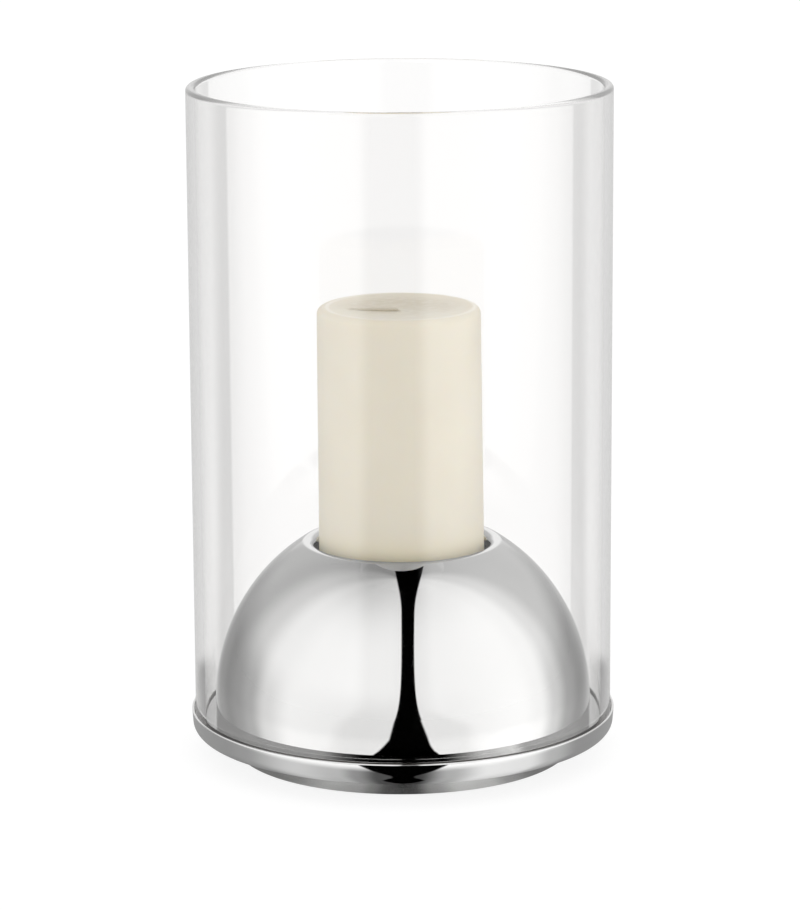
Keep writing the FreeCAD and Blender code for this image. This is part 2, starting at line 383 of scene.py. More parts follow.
# The dome's flank mirrors a spot on the floor at a wider bearing than the axis sees it: by a share of
# WIDER_BY over the spot's distance past FLANK_R. No spot counts as nearer than SPOT_MIN_R.
FLANK_R, WIDER_BY, SPOT_MIN_R = 0.056, 0.032, 0.085
SWEEP_BEARING, SWEEP_TURN = (122.0, 140.0), 20.0  # degrees
BACK_WALL_DETOUR = (0.03, 0.05)  # metres that a ray off the glass's back wall has come further

# The grey strip painted on the floor, which the edges of the glass show: how much darker it is, and its
# sides, which start so far from the middle and slope outwards by so much per distance back.
STRIP_DEPTH = 0.19
STRIP_INNER_X, STRIP_INNER_SLOPE = 0.072, (0.118, 0.126)
STRIP_OUTER_X, STRIP_OUTER_SLOPE = 0.082, (0.20, 0.13)
STRIP_MIN_Y = 0.05


def studio_profile(graph, bearing, stops):
    """Brightness in a direction round the lantern, from its bearing in degrees."""
    share = graph.math("MULTIPLY_ADD", bearing, 1 / 360, 0.5)
    return graph.ramp(share, [(0.5 + degrees / 360, level) for degrees, level in stops])


def light_world():
    """For mirrored rays the studio, for the camera a white backdrop, for matt surfaces even light."""
    world = bpy.data.worlds.new("studio")
    scene.world = world
    world.use_nodes = True
    g = Graph(world.node_tree)
    x, y, z = g.split(g.add("TexCoord").outputs["Generated"])
    aside, height = g.math("ABSOLUTE", x), g.math("MAXIMUM", z, 0.0)
    bearing = g.bearing(x, y)
    is_from_inside = g.has_bounced("Transparent")
    is_not_from_inside = g.inverse(is_from_inside)

    high = studio_profile(g, bearing, STUDIO_HIGH)
    low = studio_profile(g, bearing, STUDIO_LOW)
    panels = g.mix_value(g.smooth(z, *HORIZON_Z), low, high)
    lost = g.smooth(x, *CEILING_X, CEILING_LEFT, CEILING_RIGHT)
    lost = g.product(lost, g.smooth(aside, *CEILING_ASIDE, CEILING_MIDDLE, 1.0))
    overhead = g.math("POWER", height, CEILING_POWER)
    panels = g.product(panels, g.inverse(g.product(lost, overhead)))

    # The gap, where the dark room shows: a band up from the horizon that runs on overhead and a little
    # past it.
    foot = g.math("EXPONENT", g.product(height, -SKY_GAP_FADE))
    crown = g.smooth(y, *CROWN_Y, 0.0, SKY_GAP_CROWN)
    half = g.math("ADD", crown, g.math("MULTIPLY_ADD", foot, SKY_GAP_FOOT, SKY_GAP_HALF))
    off = g.math("ABSOLUTE", g.math("SUBTRACT", x, SKY_GAP_MIDDLE))
    is_beside = g.smooth(g.math("SUBTRACT", off, half), -SKY_GAP_BLUR, SKY_GAP_BLUR)
    is_behind = g.smooth(y, *GAP_END_Y)
    reflected = g.product(panels, g.either(is_beside, is_behind))

    is_twice = g.product(g.has_bounced("Glossy", 2), g.smooth(z, *TWICE_Z))
    reflected = g.mix_value(is_twice, reflected, studio_profile(g, bearing, STUDIO_TWICE))
    # What the glass's rim and edges catch is the white sweep, and the pale ceiling over it.
    is_ceiling = g.product(g.smooth(z, *PALE_CEILING_FROM_Z), g.smooth(z, *PALE_CEILING_TO_Z))
    is_sweep = g.math("MAXIMUM", g.smooth(y, *SWEEP_Y), is_ceiling)
    reflected = g.mix_value(g.product(is_not_from_inside, is_sweep), reflected, SWEEP)
    # The lip of the dome mirrors a bright sheet right behind the lantern.
    is_sheet = g.product(g.smooth(aside, *SHEET_ASIDE), g.smooth(y, *SHEET_Y))
    is_sheet = g.product(is_sheet, g.product(is_from_inside, g.smooth(z, *SHEET_Z)))
    reflected = g.mix_value(is_sheet, reflected, SHEET_BEHIND)
    # What the dome mirrors through the open top has not been dimmed by the glass's wall.
    is_over_rim = g.product(is_not_from_inside, g.math("GREATER_THAN", z, OPEN_TOP_Z))
    reflected = g.product(reflected, g.math("MULTIPLY_ADD", is_over_rim, -WALL_DIMMING, 1.0))

    lighting = g.math("MULTIPLY_ADD", x, LIGHT_TILT, 1.0)
    level = g.mix_value(g.has_bounced("Glossy"), BACKDROP, reflected)
    level = g.mix_value(g.has_bounced("Diffuse"), level, lighting)
    background = g.add("Background", {"Color": level, "Strength": 1.0})
    g.add("OutputWorld", {"Surface": background.outputs[0]})


def floor_gap(g, bearing, middle, half, blur):
    """0 in the dark gap on the floor, 1 beside it."""
    off = g.math("ABSOLUTE", g.math("SUBTRACT", bearing, middle))
    return g.smooth(g.math("DIVIDE", g.math("SUBTRACT", off, half), blur), -1.0, 1.0)


def floor_mirrored(g, x, y):
    """The floor's brightness for mirrored rays: lit or shaded, with the dark gap. Distances in metres."""
    radius, bearing = g.off_axis(x, y), g.bearing(x, y)
    is_from_inside = g.has_bounced("Transparent")
    # Steel that stands beside the spot mirrors it at a wider angle than the axis sees it.
    wider = g.math("DIVIDE", WIDER_BY, g.math("SUBTRACT", g.math("MAXIMUM", radius, SPOT_MIN_R), FLANK_R))
    seen_at = g.math("MULTIPLY_ADD", bearing, wider, bearing)
    seen_at = g.math("MINIMUM", g.math("MAXIMUM", seen_at, -180.0), 180.0)
    lit = studio_profile(g, seen_at, STUDIO_LOW)
    lit = g.product(lit, g.smooth(radius, *NEAR_FLOOR_R, NEAR_FLOOR, 1.0))
    # The edges of the glass also mirror the white sweep behind: from further off, further round.
    turned = g.math("ADD", g.math("ABSOLUTE", bearing), g.smooth(radius, *SWEEP_TURNED_R, 0.0, SWEEP_TURN))
    is_sweep = g.product(g.smooth(turned, *SWEEP_BEARING), g.smooth(radius, *SWEEP_R))
    lit = g.mix_value(g.product(is_sweep, g.inverse(is_from_inside)), lit, SWEEP)
    shaded = studio_profile(g, seen_at, STUDIO_SHADE)
    is_lit = g.smooth(radius, *SHADE_EDGE)

    # The gap as the dome mirrors it: narrow far off, wide beside the tray, pinched just before it.
    near_tray = g.add("MapRange", {"Value": radius, "From Min": GAP_LIST_FROM, "From Max": GAP_LIST_TO})
    half = g.ramp(near_tray.outputs["Result"], GAP_NEAR_TRAY, "LINEAR")
    beyond = g.inverse(g.math("DIVIDE", GAP_LIST_TO, g.math("MAXIMUM", radius, GAP_LIST_TO)))
    middle = g.smooth(radius, *GAP_MIDDLE_R, GAP_MIDDLE_NEAR, GAP_MIDDLE_FAR)
    inside = floor_gap(g, bearing, middle, g.math("MULTIPLY_ADD", beyond, -GAP_TAPER, half), GAP_SHARP)
    # The back wall of the glass is further from the floor in front than the dome is.
    detour = g.math("SUBTRACT", g.ray("Ray Length"), radius)
    inside = g.math("MAXIMUM", inside, g.smooth(detour, *BACK_WALL_DETOUR))
    # The gap as the tray's ring and the outside of the glass mirror it.
    is_beside = g.smooth(radius, *GAP_BESIDE_R)
    is_far = g.smooth(radius, *GAP_FAR_R)
    wide = g.mix_value(is_far, g.mix_value(is_beside, half, GAP_BESIDE), GAP_GLASS)
    blur = g.mix_value(is_beside, GAP_SHARP, GAP_SOFT)
    outside = floor_gap(g, bearing, g.product(is_far, GAP_MIDDLE_GLASS), wide, blur)
    return g.product(g.mix_value(is_lit, shaded, lit), g.mix_value(is_from_inside, outside, inside))


def lay_floor():
    """A plain white floor. It keeps the lantern's shadow, and reflections show the studio's gap on it."""
    corners = [(-1, -1), (1, -1), (1, 1), (-1, 1)]
    verts = [(x * FLOOR_REACH, y * FLOOR_REACH, 0.0) for x, y in corners]
    floor = finish_mesh("floor", verts, [(0, 1, 2, 3)])
    made, g = material("white_floor")
    x, y, _ = g.split(g.add("NewGeometry").outputs["Position"])
    mirrored = floor_mirrored(g, x, y)

    # The edges of the glass bend the view outwards. There they show a grey strip painted on the floor, a
    # painted reflection of the white sheet's grey edge, which widens to the back.
    aside, away = g.math("ABSOLUTE", x), g.math("MAXIMUM", y, STRIP_MIN_Y)
    inner = g.math("DIVIDE", g.math("SUBTRACT", aside, STRIP_INNER_X), away)
    outer = g.math("DIVIDE", g.math("SUBTRACT", aside, STRIP_OUTER_X), away)
    painted_strip = g.product(g.smooth(inner, *STRIP_INNER_SLOPE), g.smooth(outer, *STRIP_OUTER_SLOPE))
    painted_strip = g.product(painted_strip, g.ray("Is Transmission Ray"))
    seen = g.math("MULTIPLY_ADD", painted_strip, -STRIP_DEPTH, 1.0)

    # Most of the floor's brightness is its own glow, so that its shadows stay soft and pale.
    is_mirrored, is_scattered = g.has_bounced("Glossy"), g.has_bounced("Diffuse")
    glow = g.mix_value(is_mirrored, g.product(seen, GLOW_SEEN), g.product(mirrored, GLOW_MIRRORED))
    glow = g.mix_value(is_scattered, glow, 0.0)
    matt_level = g.mix_value(is_mirrored, g.product(seen, MATT_SEEN), g.product(mirrored, MATT_MIRRORED))
    matt_level = g.mix_value(is_scattered, matt_level, MATT_SCATTERED)
    matt = g.add("BsdfDiffuse", {"Color": matt_level})
    emission = g.add("Emission", {"Color": glow, "Strength": 1.0})
    both = g.add("AddShader", {0: matt.outputs[0], 1: emission.outputs[0]})
    g.add("OutputMaterial", {"Surface": both.outputs[0]})
    floor.data.materials.append(made)


CAMERA_PLACE = (0.0, -1.6147, 0.4928)
CAMERA_DOWN, CAMERA_ROLL = math.radians(12.76), math.radians(-0.325)
CAMERA_YAW = -0.0004  # radians
CAMERA_LENS, CAMERA_SENSOR = 155.54, 36.0  # mm


def place_camera():
    """The photograph's viewpoint: a long lens, about thirteen degrees above the lantern."""
    level = math.cos(CAMERA_DOWN)
    forward = Vector((math.sin(CAMERA_YAW) * level, math.cos(CAMERA_YAW) * level, -math.sin(CAMERA_DOWN)))
    right = Vector((math.cos(CAMERA_YAW), -math.sin(CAMERA_YAW), 0.0))
    up = right.cross(forward)
    tilted_right = right * math.cos(CAMERA_ROLL) + up * math.sin(CAMERA_ROLL)
    tilted_up = up * math.cos(CAMERA_ROLL) - right * math.sin(CAMERA_ROLL)
    data = bpy.data.cameras.new("camera")
    data.sensor_width = CAMERA_SENSOR
    data.lens = CAMERA_LENS
    camera = bpy.data.objects.new("camera", data)
    scene.collection.objects.link(camera)
    turn = Matrix((tilted_right, tilted_up, -forward)).transposed()
    camera.matrix_world = Matrix.Translation(CAMERA_PLACE) @ turn.to_4x4()
    scene.camera = camera


# Materials --------------------------------------------------------------------------------------
# A noise's scale is in features per metre, where its place isn't stretched first. A bump's distance is
# in metres.


def polished_steel(name, skirt_top=None):
    """Mirror-polished sheet. With skirt_top (mm), the steel below it is dull and painted dark as the shade
    down in the groove, and the brim just above it is painted less bright as shade too."""
    made, g = material(name)
    place = g.place()
    rough = g.scaled(g.noise(place, scale=60.0, detail=4.0), 0.02, 0.05)
    colour, brim_shade_colour, groove_shade_colour = (0.88, 0.88, 0.875), (0.56, 0.56, 0.555), (0.10, 0.095, 0.09)
    drawn_rough = 0.45
    if skirt_top is not None:
        height = g.split(place)[2]
        # Painted shade: the brim is darker, and the steel below it much darker, where the groove's shade
        # falls.
        is_brim = g.math("LESS_THAN", height, (skirt_top + BRIM_DEPTH) * MM)
        is_dull_and_shaded = g.math("LESS_THAN", height, skirt_top * MM)
        colour = g.mix(is_dull_and_shaded, g.mix(is_brim, colour, brim_shade_colour), groove_shade_colour)
        rough = g.mix_value(is_dull_and_shaded, rough, drawn_rough)
    g.principled({"Base Color": colour, "Metallic": 1.0, "Roughness": rough})
    return made


def satin_steel():
    """Satin stainless steel with the fine rings that its polishing mop left."""
    made, g = material("satin_steel")
    place = g.place()
    x, y, z = g.split(place)
    rings = g.add("CombineXYZ", {"X": g.off_axis(x, y), "Y": z}).outputs[0]
    lay = g.noise(rings, scale=6000.0, detail=3.0, roughness=0.7)
    wear = g.noise(place, scale=45.0, detail=4.0, roughness=0.6)
    wear_share, lay_share = 0.6, 0.4
    marks = g.math("MULTIPLY_ADD", wear, wear_share, g.product(lay, lay_share))
    fresh, worn = (0.60, 0.60, 0.59), (0.68, 0.68, 0.67)
    g.principled({
        "Base Color": g.mix(wear, fresh, worn), "Metallic": 1.0, "Roughness": g.scaled(marks, 0.16, 0.32),
        "Normal": g.bump(lay, strength=0.06, distance=0.0002),
    })
    return made


def drawn_steel():
    """Deep-drawn sheet: faint marks along the draw, and the dull bloom of the press oil."""
    made, g = material("drawn_steel")
    place = g.place()
    x, y, z = g.split(place)
    marks_round, marks_up = 60.0, 30.0
    around = g.product(g.math("ARCTAN2", y, x), marks_round)
    along = g.add("CombineXYZ", {"X": around, "Y": g.product(z, marks_up), "Z": g.off_axis(x, y)})
    draw = g.noise(along.outputs[0], scale=4.0, detail=4.0, roughness=0.6)
    bloom = g.noise(place, scale=70.0, detail=3.0)
    dull, clean = (0.50, 0.50, 0.50), (0.64, 0.635, 0.62)
    g.principled({
        "Base Color": g.mix(bloom, dull, clean), "Metallic": 1.0, "Roughness": g.scaled(draw, 0.24, 0.44),
        "Normal": g.bump(draw, strength=0.12, distance=0.0002),
    })
    return made


def zinc_steel():
    """Zinc plate: small crystals, each a little lighter or darker, and a faint warm passivation."""
    made, g = material("zinc_steel")
    place = g.place()
    crystal = g.add("TexVoronoi", {"Vector": place, "Scale": 900.0}).outputs["Color"]
    shade = g.split(crystal)[0]
    film = g.product(g.noise(place, scale=160.0, detail=3.0), 0.35)
    dark_zinc, pale_zinc, warm = (0.58, 0.59, 0.60), (0.72, 0.72, 0.71), (0.70, 0.66, 0.52)
    plate = g.mix(shade, dark_zinc, pale_zinc)
    g.principled({
        "Base Color": g.mix(film, plate, warm), "Metallic": 1.0, "Roughness": g.scaled(shade, 0.26, 0.46),
        "Normal": g.bump(shade, strength=0.08, distance=0.0001),
    })
    return made


def tinplate():
    """Rolled tinplate, with straight rolling lines and a few dull spots."""
    made, g = material("tinplate")
    place = g.place()
    rolled = g.add("Mapping", {"Vector": place, "Scale": (40.0, 2200.0, 2200.0)}).outputs[0]
    lines = g.noise(rolled, scale=1.0, detail=3.0, roughness=0.6)
    spots = g.noise(place, scale=500.0, detail=3.0, roughness=0.7)
    dark_tin, pale_tin = (0.58, 0.58, 0.57), (0.72, 0.72, 0.70)
    g.principled({
        "Base Color": g.mix(lines, dark_tin, pale_tin), "Metallic": 1.0,
        "Roughness": g.scaled(spots, 0.22, 0.42), "Normal": g.bump(lines, strength=0.1, distance=0.0001),
    })
    return made


def seat_silicone():
    """Translucent grey silicone, moulded, with a little lint on it."""
    made, g = material("seat_silicone")
    place = g.place()
    cloud = g.noise(place, scale=120.0, detail=3.0)
    lint = g.smooth(g.noise(place, scale=2600.0, detail=2.0, roughness=0.7), 0.66, 0.72)
    lint_share = g.product(lint, 0.5)
    deep, pale, lint_colour = (0.26, 0.245, 0.23), (0.34, 0.32, 0.30), (0.62, 0.60, 0.57)
    g.principled({
        "Base Color": g.mix(lint_share, g.mix(cloud, deep, pale), lint_colour),
        "Roughness": g.scaled(cloud, 0.42, 0.58), "Normal": g.bump(lint, strength=0.1, distance=0.0002),
        "IOR": 1.41, "Subsurface Weight": 0.3, "Subsurface Radius": (0.002, 0.002, 0.002),
        "Subsurface Scale": 1.0,
    })
    return made


def black_felt():
    """Pressed wool felt: short matted fibres, a few of them paler."""
    made, g = material("black_felt")
    place = g.place()
    fibres = g.add("TexVoronoi", {"Vector": place, "Scale": 1700.0}, feature="DISTANCE_TO_EDGE")
    matted = g.noise(place, scale=1200.0, detail=5.0, roughness=0.75)
    dark_wool, grey_wool, pale_fibre = (0.022, 0.022, 0.023), (0.045, 0.044, 0.043), (0.16, 0.155, 0.15)
    wool = g.mix(g.noise(place, scale=60.0, detail=3.0), dark_wool, grey_wool)
    pale_share = g.product(g.smooth(matted, 0.58, 0.72), 0.5)
    height = g.math("ADD", matted, fibres.outputs["Distance"])
    g.principled({
        "Base Color": g.mix(pale_share, wool, pale_fibre), "Roughness": g.scaled(matted, 0.85, 1.0),
        "Normal": g.bump(height, strength=0.6, distance=0.0005),
        "Sheen Weight": 0.35, "Sheen Roughness": 0.5,
    })
    return made


def waxed_cotton():
    """Cotton yarn soaked in wax: fibres along the strands, and wax that fills some of them."""
    made, g = material("waxed_cotton")
    place = g.place()
    drawn = g.add("Mapping", {"Vector": place, "Scale": (0.25, 1.0, 1.0)}).outputs[0]
    fibres = g.noise(drawn, scale=7000.0, detail=3.0, roughness=0.6)
    soaked = g.noise(place, scale=420.0, detail=3.0)
    dark_yarn, pale_yarn, wax = (0.55, 0.49, 0.39), (0.80, 0.75, 0.65), (0.69, 0.63, 0.52)
    cotton = g.mix(fibres, dark_yarn, pale_yarn)
    g.principled({
        "Base Color": g.mix(g.smooth(soaked, 0.4, 0.65), cotton, wax),
        "Roughness": g.scaled(soaked, 0.75, 0.45), "Normal": g.bump(fibres, strength=0.3, distance=0.0002),
    })
    return made


def clear_glass():
    """Clear glass with faint waves in its wall."""
    made, g = material("clear_glass")
    bump = g.bump(g.noise(g.place(), scale=9.0, detail=1.0), strength=0.05, distance=0.001)
    # Light for the wax and the steel passes straight through. So do rays inside the cylinder that have
    # been mirrored there, and rays that keep bouncing within the wall.
    is_in_air = g.math("LESS_THAN", g.math("MODULO", g.ray("Transmission Depth"), 2.0), 0.5)
    is_within = g.has_bounced("Transmission", 2)
    is_mirrored_within = g.product(is_in_air, is_within, g.has_bounced("Glossy"))
    is_trapped = g.has_bounced("Glossy", 3)
    passes = g.either(g.ray("Is Shadow Ray"), g.ray("Is Diffuse Ray"), is_mirrored_within, is_trapped)
    tint, each_surface_passes = (0.993, 0.991, 0.989), (0.95, 0.95, 0.95)
    glass = g.add("BsdfGlass", {"Color": tint, "Roughness": 0.0, "IOR": 1.5, "Normal": bump})
    clear = g.add("BsdfTransparent", {"Color": each_surface_passes})
    shader = g.add("MixShader", {0: passes, 1: glass.outputs[0], 2: clear.outputs[0]})
    g.add("OutputMaterial", {"Surface": shader.outputs[0]})
    return made


# Where the wax changes, and where light and shade are painted on it, in metres: heights, distances from
# the axis, and places from front to back.
WAX_TOP_Z, PAINTED_LIFT_Z = (0.1880, 0.1895), (0.104, 0.088)
TOP_SHADE_Y, TOP_SHADE_R = (-0.018, 0.012), (0.018, 0.031)
HIGHLIGHT_INNER_R, HIGHLIGHT_OUTER_R = (0.0296, 0.0306), (0.0322, 0.0311)
RIPPLE_R, PAINTED_SHEEN_Y = (0.030, 0.022), (0.006, -0.006)


def ivory_wax():
    """Poured wax: faintly clouded, with painted shade on the top towards its back and middle, a painted
    highlight on its crest, painted lighter and yellower down in the cup, and a painted grey sheen in
    mirrors.
    """
    made, g = material("ivory_wax")
    place = g.place()
    x, y, z = g.split(place)
    radius = g.off_axis(x, y)
    cloud = g.noise(place, scale=40.0, detail=4.0)
    blotch = g.smooth(g.noise(place, scale=130.0, detail=3.0, roughness=0.6), 0.55, 0.75, 0.0, 0.12)
    deep, pale, paler = (0.80, 0.745, 0.62), (0.85, 0.80, 0.68), (0.93, 0.90, 0.81)
    highlight_and_ripple_colour = (0.95, 0.925, 0.86)
    top_shade_colour, tan, painted_sheen_grey = (0.665, 0.60, 0.475), (0.90, 0.82, 0.62), (0.42, 0.415, 0.40)
    colour = g.mix(blotch, g.mix(cloud, deep, pale), paler)
    is_top = g.smooth(z, *WAX_TOP_Z)
    # Painted shade: the top is darker towards its back and its middle.
    painted_top_shade = g.product(is_top, g.smooth(y, *TOP_SHADE_Y, 0.15, 0.9), g.smooth(radius, *TOP_SHADE_R, 1.0, 0.25))
    colour = g.mix(painted_top_shade, colour, top_shade_colour)
    # A painted highlight along the crest, where the dished top meets the rounded edge, and pale ripples
    # inside it.
    crest_highlight = g.product(g.smooth(radius, *HIGHLIGHT_INNER_R), g.smooth(radius, *HIGHLIGHT_OUTER_R))
    ripple = g.smooth(g.noise(place, scale=300.0, detail=2.0), 0.45, 0.62)
    ripple = g.product(ripple, g.smooth(radius, *RIPPLE_R), 0.18)
    highlight_and_ripple_share = g.product(is_top, g.math("MULTIPLY_ADD", crest_highlight, 0.5, ripple))
    colour = g.mix(highlight_and_ripple_share, colour, highlight_and_ripple_colour)
    # Painted light: lighter and yellower down in the cup, lifting the shade by the cup's lip.
    colour = g.mix(g.smooth(z, *PAINTED_LIFT_Z, 0.0, 0.85), colour, tan)
    # Painted sheen: where the dome's crown mirrors the front of the candle along its side, the wax is
    # painted grey.
    painted_sheen = g.product(g.has_bounced("Glossy"), g.smooth(y, *PAINTED_SHEEN_Y))
    colour = g.mix(painted_sheen, colour, painted_sheen_grey)
    grain = g.noise(place, scale=900.0, detail=3.0)
    g.principled({
        "Base Color": colour, "Roughness": g.scaled(cloud, 0.38, 0.5), "IOR": 1.44,
        "Normal": g.bump(grain, strength=0.05, distance=0.0003),
        "Subsurface Weight": 0.35, "Subsurface Radius": (0.006, 0.0045, 0.0028), "Subsurface Scale": 1.0,
    })
    return made


# Pieces -----------------------------------------------------------------------------------------
# Sizes in mm, with heights from the plane of the table.

SHEET = 1.0  # the steel's thickness
STUD_HOLE = 3.3  # radius of the tray's and the foot's hole for the stud

GLASS_IN, GLASS_OUT = 84.35, 88.35
GLASS_FOOT_ROUND, GLASS_RIM_ROUND = 1.2, 1.8

TRAY_FLOOR = 10.4
RING_TOP, RING_OUTER = 18.8, 90.0
RING_HEIGHT, RING_LEAN = 9.4, 0.75  # the ring's wall leans outwards by RING_LEAN over its height
RING_EDGE, TRAY_HEEL, TRAY_CORNER = 0.49, 4.0, 3.0  # how its edges and corners are rounded

DOME_R, DOME_Z = 79.8, 23.05
SKIRT, SKIRT_EDGE = 84.0, 0.06
BRIM, COVE = 18.3, 0.06  # the brim's height, and the rounding between it and the dome
COVE_Z = BRIM + COVE
COVE_R = math.sqrt((DOME_R + COVE) ** 2 - (COVE_Z - DOME_Z) ** 2)
SKIRT_TOP = BRIM - 0.1  # just below the brim: the polish ends there, and the painted shade of the groove starts
BRIM_DEPTH = 0.14  # from just under the brim's face to just over it
LIP_R, LIP_C, NECK_DEPTH = 3.7, 40.5, 12.0
LIP_Z = DOME_Z + math.sqrt((DOME_R - LIP_R) ** 2 - LIP_C ** 2)
NECK_IN, NECK_END = LIP_C - LIP_R, LIP_Z + LIP_R - NECK_DEPTH

FOOT_OUTER, FOOT_WALL = 71.5, 1.2
FOOT_EDGE, FOOT_SHOULDER = 0.4, 1.2
CUP_OUTER, CUP_HEEL, CUP_CORNER = 38.85, 4.0, 3.0

CANDLE_FOOT_R, CANDLE_DRAFT, CANDLE_LEAN = 35.25, 0.006, 0.3  # the draft is per mm, the lean in degrees
CANDLE_FOOT_ROUND, CANDLE_TOP_ROUND, CANDLE_TURNS = 1.5, 3.0, 360
CANDLE_BAND, DISH_RINGS = 3.0, 44
FOOT_RINGS, FOOT_FLAT = 12, 0.95  # how many rings the foot has, and how much of it they take up
DISH_EDGE, DISH_DEPTH, DISH_SINK = 3.4, 2.0, 0.02
# Waves in the side, as (times round, height of one radian, phase), with their depth at the nominal
# radius, and the height over the foot at which they are in full.
WAVES = ((3, 23, 0), (5, -31, 1))
WAVE_DEPTH, WAVE_FADE, NOMINAL_R = 0.035, 9.0, 35.0
RIPPLE, RIPPLE_X, RIPPLE_Y, RIPPLE_PHASE = 0.05, 4.1, 3.3, 0.6  # on the top: depth, lengths and phase
# The groove that the wick's tail lies in: its depth under the wick's line, its half width and how far
# it rises there, and how far it may reach past the tail, the axis and the edge of the dish.
BED_DEPTH, BED_HALF, BED_RISE = 0.75, 1.25, 0.9
BED_BEYOND_TAIL, BED_BEYOND_AXIS, BED_BEYOND_DISH = 2.5, 2.0, 0.1

WICK_R, WICK_BEND = 0.9, 1.6
WICK_STEP, WICK_SIDES, WICK_BEND_STEPS = 0.3, 30, 10
STRANDS, STRAND_PITCH = 3, 5.5
STRAND_DIP, STRAND_BULGE = 0.76, 0.23  # the wick's radius between two strands, and how much a strand adds
WAVER, WAVER_RATE = 0.01, 7.3  # and how much it wavers along the wick, in radians per mm


def wall_at(z):
    """The ring's outer radius at a height."""
    return RING_OUTER - RING_LEAN * (RING_TOP - z) / RING_HEIGHT


def make_glass():
    low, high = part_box("glass_cylinder")
    bottom, top = low.z / MM, high.z / MM
    outline = bent([
        (GLASS_IN, bottom, GLASS_FOOT_ROUND),
        (GLASS_OUT, bottom, GLASS_FOOT_ROUND),
        (GLASS_OUT, top, GLASS_RIM_ROUND),
        (GLASS_IN, top, GLASS_RIM_ROUND),
    ], FINE)
    piece = lathe("glass", outline, fitted("glass_cylinder", GLASS_OUT))
    piece.data.materials.append(clear_glass())
    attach(piece, "glass")
    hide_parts("glass_cylinder")


def make_dome(steel):
    rise = math.degrees(math.atan2(LIP_Z - DOME_Z, LIP_C))
    dip = math.degrees(math.atan2(COVE_Z - DOME_Z, COVE_R))
    # The last number of each arc is its step in degrees, which is finest where it mirrors the most.
    outline = chained(
        (SKIRT - SHEET, TRAY_FLOOR),
        (SKIRT, TRAY_FLOOR),
        arc(SKIRT - SKIRT_EDGE, BRIM - SKIRT_EDGE, SKIRT_EDGE, 0, 90, 30),
        arc(COVE_R, COVE_Z, COVE, 270, 180 + dip, 30),
        arc(0, DOME_Z, DOME_R, dip, rise, 1.25),
        arc(LIP_C, LIP_Z, LIP_R, rise, 180, 5),
        (NECK_IN, NECK_END),
        (NECK_IN + SHEET, NECK_END),
        arc(LIP_C, LIP_Z, LIP_R - SHEET, 180, rise, 8),
        arc(0, DOME_Z, DOME_R - SHEET, rise, dip, 3),
        arc(COVE_R, COVE_Z, COVE + SHEET, 180 + dip, 270, 10),
        (SKIRT - SHEET, BRIM - SHEET),
    )
    piece = lathe("dome", outline, fitted("dome_shell", SKIRT))
    piece.data.materials.append(steel)
    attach(piece, "base")
    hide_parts("dome_shell")


def make_tray(steel):
    under = TRAY_FLOOR - SHEET
    outline = bent([
        (STUD_HOLE, under, 0),
        (wall_at(under), under, TRAY_HEEL),
        (RING_OUTER, RING_TOP, RING_EDGE),
        (RING_OUTER - SHEET, RING_TOP, RING_EDGE),
        (wall_at(TRAY_FLOOR) - SHEET, TRAY_FLOOR, TRAY_CORNER),
        (STUD_HOLE, TRAY_FLOOR, 0),
    ], FINE)
    piece = lathe("tray_ring", outline, fitted("tray", RING_OUTER))
    piece.data.materials.append(steel)
    piece.visible_glossy = False  # the dome's flank shows the floor past the low ring, not the ring
    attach(piece, "base")
    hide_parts("tray")


def make_foot(steel):
    low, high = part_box("foot_pan")
    edge, top = low.z / MM, high.z / MM
    outline = bent([
        (STUD_HOLE, top - FOOT_WALL, 0),
        (FOOT_OUTER - FOOT_WALL, top - FOOT_WALL, 0),
        (FOOT_OUTER - FOOT_WALL, edge, 0),
        (FOOT_OUTER, edge, FOOT_EDGE),
        (FOOT_OUTER, top, FOOT_SHOULDER),
        (STUD_HOLE, top, 0),
    ])
    piece = lathe("foot", outline, fitted("foot_pan", FOOT_OUTER))
    piece.data.materials.append(steel)
    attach(piece, "base")
    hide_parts("foot_pan")


def make_cup(steel):
    low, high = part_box("candle_cup")
    bottom, top = low.z / MM, high.z / MM
    outline = bent([
        (0, bottom, 0),
        (CUP_OUTER, bottom, CUP_HEEL),
        (CUP_OUTER, top, 0),
        (CUP_OUTER - SHEET, top, 0),
        (CUP_OUTER - SHEET, bottom + SHEET, CUP_CORNER),
        (0, bottom + SHEET, 0),
    ])
    piece = lathe("candle_cup_shell", outline, fitted("candle_cup", CUP_OUTER))
    piece.data.materials.append(steel)
    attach(piece, "base")
    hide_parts("candle_cup")


def lean(x, z, foot_z):
    """The candle stands a third of a degree out of plumb in its cup. All in mm."""
    return x - math.tan(math.radians(CANDLE_LEAN)) * (z - foot_z)


def banded(first, rows, sides):
    """Quads between rows of vertices that start at vertex first, each row a closed ring."""
    faces = []
    for row in range(rows - 1):
        low, high = first + row * sides, first + (row + 1) * sides
        for k in range(sides):
            m = (k + 1) % sides
            faces.append((low + k, low + m, high + m, high + k))
    return faces


def candle_side(above_foot):
    """The candle's radius at a height above its foot."""
    return CANDLE_FOOT_R - CANDLE_DRAFT * above_foot


